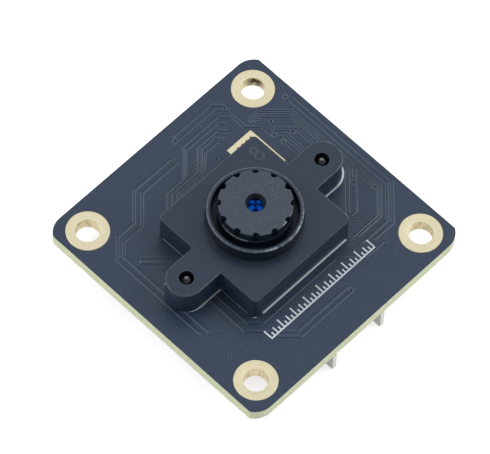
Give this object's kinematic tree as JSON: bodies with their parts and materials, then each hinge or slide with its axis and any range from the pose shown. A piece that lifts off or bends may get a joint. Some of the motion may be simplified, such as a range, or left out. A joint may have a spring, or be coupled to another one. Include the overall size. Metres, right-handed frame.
{
  "type": "board camera module",
  "caption": "Square board camera: a notched screw-in lens in a black moulded holder with screw ears, plated corner mounting holes, and a side-entry cable header and chips underneath.",
  "frame": {"origin": "centre of the four mounting holes, on the board's top face", "axes": "+Z out of the board's top face, the way the lens looks; -Y towards the edge where the cable header opens; +X completes a right-handed frame"},
  "size_m": [0.0318, 0.0321, 0.0113],
  "materials": {
    "board": "satin solder mask over glass-fibre laminate",
    "gold": "gold-flashed copper",
    "holder_plastic": "fine matte moulding",
    "lens_plastic": "fine grained matte moulding",
    "black_spacer": "matte black",
    "coated_glass": "blue anti-reflection coating",
    "lens_glass": "clear, coated",
    "filter_glass": "pale blue-green filter glass",
    "silicon": "dark polished die",
    "steel": "zinc-plated",
    "tin": "satin tin plating",
    "white_nylon": "natural nylon, slightly glossy",
    "brass_contact": "thin gold plating",
    "black_epoxy": "fine matte moulding compound",
    "crystal_ceramic": "matte ceramic",
    "crystal_metal": "satin metal lid",
    "bulk_yellow": "satin moulded case",
    "capacitor_ceramic": "matte fired ceramic",
    "resistor_black": "glossy black glaze",
    "ferrite": "matte dark ferrite"
  },
  "bodies": {
    "module": {"circuit_board": "board", "mounting_hole_plating": "gold", "ground_pad": "gold", "test_pads": "gold", "lens_holder": "holder_plastic", "holder_screws": "steel", "ir_cut_filter": "filter_glass", "image_sensor": "silicon", "sensor_cover_glass": "lens_glass", "sensor_solder_balls": "tin", "header_housing": "white_nylon", "header_contacts": "brass_contact", "header_solder_tabs": "tin", "video_processor": "black_epoxy", "processor_terminals": "tin", "flash_memory": "black_epoxy", "flash_leads": "tin", "voltage_regulators": "black_epoxy", "regulator_leads": "tin", "surge_protector": "black_epoxy", "protector_leads": "tin", "crystal_base": "crystal_ceramic", "crystal_lid": "crystal_metal", "bulk_capacitor": "bulk_yellow", "bulk_capacitor_leads": "tin", "ceramic_capacitors": "capacitor_ceramic", "resistors": "resistor_black", "ferrite_beads": "ferrite", "chip_end_caps": "tin"},
    "lens": {"lens_barrel": "lens_plastic", "front_element": "coated_glass", "second_element": "lens_glass", "third_element": "lens_glass", "rear_element": "lens_glass", "element_spacers": "black_spacer", "lens_retainer": "black_spacer"}
  },
  "joints": [
    {"name": "focus_turn", "type": "hinge", "parent": "module", "child": "lens", "pos_m": [-0.00025, -0.00015, 0.0035], "axis": [0, 0, 1], "range_deg": [-180, 180]}
  ]
}
